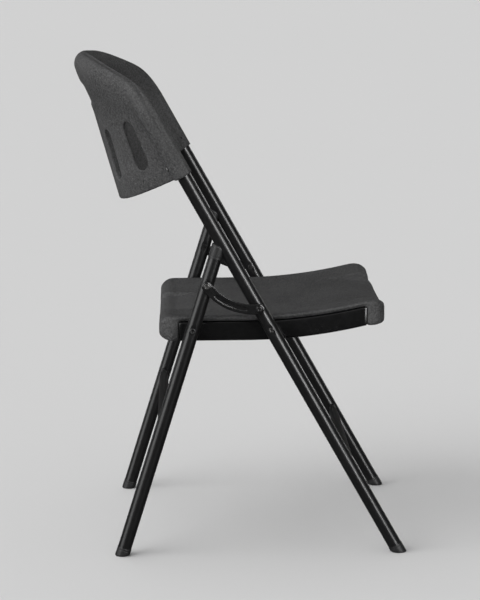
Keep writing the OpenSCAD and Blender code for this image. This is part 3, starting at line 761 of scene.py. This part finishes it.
def backCutters(side):
    # the upright's bore and the two slots on one side
    ends = (back["boreStart"], back["boreEnd"])
    bore, circle = tubeRadius + chair["playGap"], circleAngles(back["boreSides"])
    cutters = [loftMesh("boreCut", [legRing(frontLeg, side, bore, circle, u) for u in ends])]
    straight = (back["slotLength"] - back["slotWidth"]) / 2
    for place in back["slotPlaces"]:
        slope = side * atan(backSlope(place))
        rings = []
        for reach, wider in back["slotRings"]:
            half = back["slotWidth"] / 2 + wider
            outline = np.array([(half * cos(t), half * sin(t) + copysign(straight, sin(t)))
                                for t in circleAngles(back["slotSides"]) + 0.01])
            across = side * place + outline[:, 0] * cos(slope)
            height = back["slotHeight"] + outline[:, 1]
            f = reach * cos(slope) - backBow(across, height)
            rings.append(alongLeg(frontLeg, f, across - reach * sin(slope), height))
        cutters.append(loftMesh("slotCut", rings))
    return cutters

def backPiece():
    turn = back["cornerTurn"]
    slices = [backSlice(angle) for angle in spans((0, turn, pi - turn, pi), (50, 44, 50))]
    body = loftMesh("backShell", [alongLeg(frontLeg, *part.T) for part in slices])
    cutWith(body, backCutters(1) + backCutters(-1))
    softenShell(body, back["voxel"])
    co = meshPoints(body)
    rel = co - np.array((frontFoot.x, 0, 0))
    f, y, u = rel @ np.array(foreAxis), rel[:, 1], rel @ np.array(upAxis)
    behind = -backBow(y, u) - f
    rise = np.maximum(u - back["cornerStart"], 0)
    power = back["cornerPower"]
    level = ((np.abs(y) / backHalf) ** power + (rise / backRise) ** power) ** (1 / power)
    inside = (1 - level) * np.hypot(y, rise) / np.maximum(level, 1e-6)
    # on the rear: a groove beside each sleeve and a small step near the top
    groove = back["grooveDepth"] * bell(np.abs(y), back["groovePlace"], back["grooveWidth"])
    groove *= smoothStep(*back["grooveFade"], u)
    step = back["stepDepth"] * smoothStep(*back["stepRise"], u)
    step *= smoothStep(*back["stepFade"], np.abs(u - back["stepMiddle"])) * smoothStep(*back["stepAcross"], np.abs(y))
    shift = smoothStep(*back["rearSkin"], behind) * (groove + step)
    co += shift[:, None] * np.array(foreAxis)
    # a valley runs round the rim's outer side, just behind its front lip
    slopeY = np.sign(y) * np.abs(y) ** (power - 1) / backHalf ** power
    slopeU = rise ** (power - 1) / backRise ** power
    size = np.maximum(np.hypot(slopeY, slopeU), 1e-9)
    fromBore = np.where(u < back["boreEnd"] + 0.001, np.hypot(f, np.abs(y) - legY), 1.0)
    valley = back["valleyDepth"] * bell(behind, back["valleyAt"], back["valleyWidth"])
    valley *= smoothStep(*back["sleeveSkin"], fromBore) * smoothStep(*back["valleyInside"], inside)
    valley *= smoothStep(*back["valleyAcross"], np.abs(y))
    co[:, 1] -= valley * slopeY / size
    co -= (valley * slopeU / size)[:, None] * np.array(upAxis)
    return setMeshPoints(body, co)

backShell = backPiece()
finishPiece(backShell, "front_frame", shellPlastic, "shell_plastic", "backrest_shell")
print("backrest made:", len(backShell.data.polygons), "faces")

seat = {
    "back": 0.1595, "front": 0.2008,  # from the middle between the feet
    "corner": 0.026, "endGap": 0.0015, "skin": 0.006,
    "bolster": 0.020, "nose": 0.023, "noseDrop": 0.85, "frontNose": 0.032, "frontNoseDrop": 0.72,
    "dish": 0.008, "dishRun": 0.04, "dishStart": 0.35, "shoulder": 0.011, "shoulderDrop": 0.0022,
    "riseFrom": 0.020, "rise": 0.6, "pivotDrop": 0.0012,
    "railTop": 0.0106, "railBottom": 0.0203, "railBack": 0.127, "railFront": 0.171, "flange": 0.010,
    "railWall": 0.002, "railEndGap": 0.0009, "railTopGap": 0.0006,
    "rim": 0.018, "pocketLow": 0.031, "pocketWall": 0.00905,
    "edgeRound": 0.004, "edgeMiddle": 0.0012, "frontLift": 0.3, "rearLift": 0.6,
    "ridgePlace": 0.112, "ridgeDepth": 0.0034, "ridgeWidth": 0.007, "ridgeRun": (0.07, 0.19),
    "dipDepth": 0.0068, "dipAcross": (0.082, 0.073), "dipRun": 0.075, "dipPocketRun": 0.080, "dipFlat": 0.02,
    "frontFall": 0.012, "fallAcross": (0.114, 0.086), "fallRun": 0.065,
    "lobe": 0.0060, "lobeAcross": (0.114, 0.088), "lobeRun": (0.13, 0.195), "notch": 0.0022, "notchWidth": 0.008,
    "sideLean": 0.0032, "leanDrop": (0.0180, 0.0110), "leanAcross": (-0.012, -0.004),
    "leanRear": (0.02, 0.045), "leanFront": (-0.02, -0.045),
    "endRun": 0.03, "sideShare": 0.86,
    "voxel": 0.00208,
}
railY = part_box("left_seat_rail")[1].y
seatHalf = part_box("seat_shell")[1].y
seatX0, seatX1 = midX - seat["back"], midX + seat["front"]

def railZ(x):
    return seatPivot.z - seat["pivotDrop"] + seat["rise"] * np.maximum(0, x - midX + seat["riseFrom"]) ** 2

def lostToRound(d, r):
    d = np.asarray(d, float)
    return np.where(d >= r, 0, r - np.sqrt(np.maximum(0, r * r - np.maximum(r - d, 0) ** 2)))

def endGaps(x):
    # how far a point lies from the seat's rear end and from its front end
    return x - seatX0 + seat["endGap"], seatX1 - x + seat["endGap"]

def seatHalfAt(x):
    return seatHalf - lostToRound(np.minimum(*endGaps(x)), seat["corner"])

def frontFall(x):
    # the front edge falls away between the ridges
    return seat["frontFall"] * smoothStep(seatX1 - seat["fallRun"], seatX1, x)

def rearDip(x, run):
    # the middle dips at the rear edge
    return seat["dipDepth"] * smoothStep(seatX0 + run, seatX0 + seat["dipFlat"], x)

def seatTop(x, y):
    away = np.abs(y)
    rearGap, frontGap = endGaps(x)
    crest = railZ(x) + seat["bolster"] - seat["frontNoseDrop"] * lostToRound(frontGap, seat["frontNose"]) \
        - seat["noseDrop"] * lostToRound(rearGap, seat["nose"])
    flat = seatHalfAt(x) - seat["shoulder"]
    dish = seat["dish"] * np.minimum(1, (x - seatX0) / seat["dishRun"] + seat["dishStart"])
    inner = dish * (1 - np.minimum(away / flat, 1) ** 4)
    outer = seat["shoulderDrop"] * np.clip((away - flat) / seat["shoulder"], 0, 1) ** 2
    # two soft ridges run back from the front edge
    ridges = seat["ridgeDepth"] * bell(away, seat["ridgePlace"], seat["ridgeWidth"])
    ridges = ridges * stepFrom(midX, seat["ridgeRun"], x)
    dip = rearDip(x, seat["dipRun"]) * smoothStep(*seat["dipAcross"], away)
    fall = frontFall(x) * smoothStep(*seat["fallAcross"], away)
    return crest - inner - outer - ridges - dip - fall

def seatRing(x):
    # the shell's section at one place along it: the top from right to left, then round below
    share = seat["sideShare"]
    half = float(seatHalfAt(x))
    y = spans((-1, -share, share, 1), (16, 100, 16)) * half
    top = seatTop(np.full_like(y, x), y)
    rearGap, frontGap = endGaps(x)
    under = railZ(min(x, midX + seat["railFront"])) - seat["railBottom"] \
        + seat["frontLift"] * lostToRound(frontGap, seat["nose"]) \
        + seat["rearLift"] * lostToRound(rearGap, seat["nose"])
    edge, low, inset = top[-1], under + seat["edgeRound"], seat["edgeMiddle"]
    down = [(half, edge + (low - edge) * part) for part in (0.35, 0.7)]
    down += [(half, low), (half - inset, under + inset), (half - seat["edgeRound"], under)]
    ring = [(x, a, z) for a, z in zip(y, top)] + [(x, a, z) for a, z in down]
    return np.array(ring + [(x, -a, z) for a, z in down[::-1]])

def railBand(x0, x1, low, high, y0, y1, follow=False):
    # a cutter that follows the rails' curve, and the underside of the skin if asked to
    xs = np.linspace(x0, x1, 24)
    outline = [(x, railZ(x) + low) for x in xs]
    for x in xs[::-1]:
        under = frontFall(x) + rearDip(x, seat["dipPocketRun"]) if follow else 0
        outline.append((x, railZ(x) + high - under))
    return loftMesh("bandCut", [[(x, y, z) for x, z in outline] for y in (y0, y1)])

def seatPiece():
    run = seat["endRun"]
    rows = spans((seatX0, seatX0 + run, seatX1 - run, seatX1), (22, 84, 24))
    body = loftMesh("seatShell", [seatRing(x) for x in rows])
    recess = railY - seat["railWall"] - seat["flange"] - chair["playGap"]
    pocket = recess - seat["pocketWall"]
    ceiling = seat["bolster"] - seat["dish"] - seat["skin"]
    x0, x1 = seatX0 + seat["rim"], seatX1 - seat["rim"]
    cutters = [railBand(x0, x1, -seat["pocketLow"], ceiling, -pocket, pocket, follow=True)]
    for side, word in sides:
        y0, y1 = sorted((side * recess, side * (seatHalf + 0.01)))
        x0, x1 = midX - seat["railBack"] - seat["railEndGap"], midX + seat["railFront"] + seat["railEndGap"]
        cutters.append(railBand(x0, x1, -seat["railBottom"] - 0.01, seat["railTop"] + seat["railTopGap"], y0, y1))
    cutWith(body, cutters)
    softenShell(body, seat["voxel"])
    # the front edge bulges forward in the middle, between two notches
    co = meshPoints(body)
    away = np.abs(co[:, 1])
    lobe = seat["lobe"] * smoothStep(*seat["lobeAcross"], away) \
        - seat["notch"] * bell(away, seat["ridgePlace"], seat["notchWidth"])
    co[:, 0] += lobe * stepFrom(midX, seat["lobeRun"], co[:, 0])
    # the side leans in a little between its crest and the rail
    lean = smoothStep(*seat["leanDrop"], co[:, 2] - railZ(co[:, 0]))
    lean *= stepFrom(seatHalf, seat["leanAcross"], away)
    lean *= stepFrom(seatX0, seat["leanRear"], co[:, 0]) * stepFrom(seatX1, seat["leanFront"], co[:, 0])
    co[:, 1] -= np.sign(co[:, 1]) * seat["sideLean"] * lean
    return setMeshPoints(body, co)

seatShell = seatPiece()
finishPiece(seatShell, "seat", shellPlastic, "shell_plastic", "seat_shell")
print("seat made:", len(seatShell.data.polygons), "faces")

rail = {
    "bend": 0.0042, "innerBend": 0.0008, "bulge": 0.00035, "stations": 70, "endRound": 0.0004, "endShrink": 0.0003,
}

def railPiece(name, side):
    # a pressed channel with rounded bends
    height = (seat["railTop"] + seat["railBottom"]) / 2
    middle = (seat["railTop"] - seat["railBottom"]) / 2
    flange, bend = seat["flange"] + seat["railWall"], rail["bend"]
    def path(offset):
        # the channel's outline at a depth below its outer face, from the upper lip to the lower
        r = max(bend - offset, rail["innerBend"])
        points = [(railY - flange, height - offset)]
        for t in np.linspace(pi / 2, 0, 7):
            points.append((railY - bend + r * cos(t), height - bend + r * sin(t)))
        for t in np.linspace(0.15, 0.85, 7):
            points.append((railY - offset + rail["bulge"] * sin(pi * t), (height - bend) * (1 - 2 * t)))
        for t in np.linspace(0, -pi / 2, 7):
            points.append((railY - bend + r * cos(t), -height + bend + r * sin(t)))
        points.append((railY - flange, -height + offset))
        return points
    section = path(0.0) + path(seat["railWall"])[::-1]
    rings = []
    x0, x1 = midX - seat["railBack"], midX + seat["railFront"]
    for x in spans((x0, x0 + rail["endRound"], x1 - rail["endRound"], x1), (2, rail["stations"], 2)):
        shrink = rail["endShrink"] if x in (x0, x1) else 0.0
        z0 = railZ(x) + middle
        rings.append([(x, side * (y - shrink), z0 + z * (1 - shrink * 20)) for y, z in section])
    return loftMesh(name, rings, 50)

for side, word in sides:
    finishPiece(railPiece(word + "Rail", side), "seat", railPaint, "rail_paint", word + "_seat_rail")

# the pieces carried over from the CAD get their finishes
for name, material in (("front_seat_brace", railPaint), ("rear_seat_brace", railPaint), ("seat_screws", screwSteel),
                       ("front_spacers", rivetSteel), ("rear_spacers", rivetSteel), ("link_rivet_tails", rivetSteel)):
    mesh = frame["nodes"][name].data
    mesh.materials.clear()
    mesh.materials.append(material)
print("rails and braces finished")

studio = {
    "floorRadius": 45.0, "floorSides": 96, "floorTone": 0.68,
    "skyTone": 0.62, "skyFill": 0.68, "skyLean": 0.8, "skyGloss": 0.05,
    "sunPower": 1.9, "sunSpread": 60, "sunPlace": (-2.0, -1.2, 1.5), "sunAim": (0, 0, 0.4),
    "stripAim": (0, 0, 0.45),
}
strips = {  # place, width and height, brightness per square metre
    "frontStrip": ((1.45, -2.05, 1.25), (0.55, 2.8), 17.0),
    "backStrip": ((1.7, 1.75, 1.25), (0.3, 2.6), 2.8),
    "leftStrip": ((-1.9, 1.5, 1.3), (0.3, 2.6), 1.96),
    "leftPanel": ((-2.3, -1.5, 1.2), (1.5, 2.6), 0.9),
    "topBox": ((-0.3, -0.4, 2.9), (2.0, 2.0), 0.7),
}

def floorPiece():
    radius = studio["floorRadius"]
    points = [(radius * cos(a), radius * sin(a), 0) for a in circleAngles(studio["floorSides"])]
    floor = meshObject("studioFloor", points, [tuple(range(studio["floorSides"]))])
    material = bpy.data.materials.new("paleFloor")
    material.use_nodes = True
    tree = material.node_tree
    feedNode(tree, tree.nodes["Principled BSDF"], {
        "Base Color": (studio["floorTone"],) * 3 + (1,), "Roughness": 1.0, "Specular IOR Level": 0.0})
    floor.data.materials.append(material)
    floor.visible_glossy = False  # dark paint mirrors the dark room, not the floor

def addLamp(name, light, place, target):
    lamp = bpy.data.objects.new(name, light)
    bpy.context.scene.collection.objects.link(lamp)
    lamp.location = place
    lamp.rotation_mode = "QUATERNION"
    lamp.rotation_quaternion = (Vector(target) - Vector(place)).to_track_quat("-Z", "Y")
    lamp.visible_camera = False
    return lamp

def studioSky():
    # pale to the eye, soft as fill, and dark in reflections
    world = bpy.data.worlds.new("studio")
    world.use_nodes = True
    tree = world.node_tree
    rays = addNode(tree, "ShaderNodeLightPath", {})
    way = addNode(tree, "ShaderNodeTexCoord", {})["Generated"]
    wayX = addNode(tree, "ShaderNodeSeparateXYZ", {0: way})["X"]
    fill = studio["skyFill"]
    level = mathNode(tree, "MULTIPLY_ADD", wayX, -studio["skyLean"] * fill, fill)
    for ray, tone in (("Is Camera Ray", studio["skyTone"]), ("Is Glossy Ray", studio["skyGloss"])):
        level = addNode(tree, "ShaderNodeMix", {"Factor": rays[ray], "A": level, "B": tone})["Result"]
    feedNode(tree, tree.nodes["Background"], {"Color": (1, 1, 1, 1), "Strength": level})
    bpy.context.scene.world = world

floorPiece()
studioSky()
bpy.context.scene.view_settings.view_transform = "Standard"
sun = bpy.data.lights.new("softSun", "SUN")
sun.energy = studio["sunPower"]
sun.angle = radians(studio["sunSpread"])
addLamp("softSun", sun, studio["sunPlace"], studio["sunAim"])
for name, (place, size, glow) in strips.items():
    # a soft strip that shows only as a highlight
    light = bpy.data.lights.new(name, "AREA")
    light.shape = "RECTANGLE"
    light.size, light.size_y = size
    light.energy = glow * pi * size[0] * size[1]
    addLamp(name, light, place, studio["stripAim"]).visible_diffuse = False

view = {
    "place": (-0.08844, -3.4949, 0.9964), "lens": 127.0, "clipEnd": 200,
    "yaw": radians(1.502), "pitch": radians(10.034), "roll": radians(-0.361),
}
camera = bpy.data.cameras.new("camera")
camera.lens = view["lens"]
camera.sensor_fit = "AUTO"
camera.clip_end = view["clipEnd"]
eye = bpy.data.objects.new("camera", camera)
bpy.context.scene.collection.objects.link(eye)
yaw, pitch, roll = view["yaw"], view["pitch"], view["roll"]
ahead = Vector((sin(yaw) * cos(pitch), cos(yaw) * cos(pitch), -sin(pitch)))
right = Vector((cos(yaw), -sin(yaw), 0))
over = right.cross(ahead)
c, s = cos(roll), sin(roll)
turned = np.array([right * c + over * s, over * c - right * s, -ahead]).T
eye.location = view["place"]
eye.rotation_mode = "QUATERNION"
eye.rotation_quaternion = Matrix(turned.tolist()).to_quaternion()
bpy.context.scene.camera = eye
print("studio and camera set")
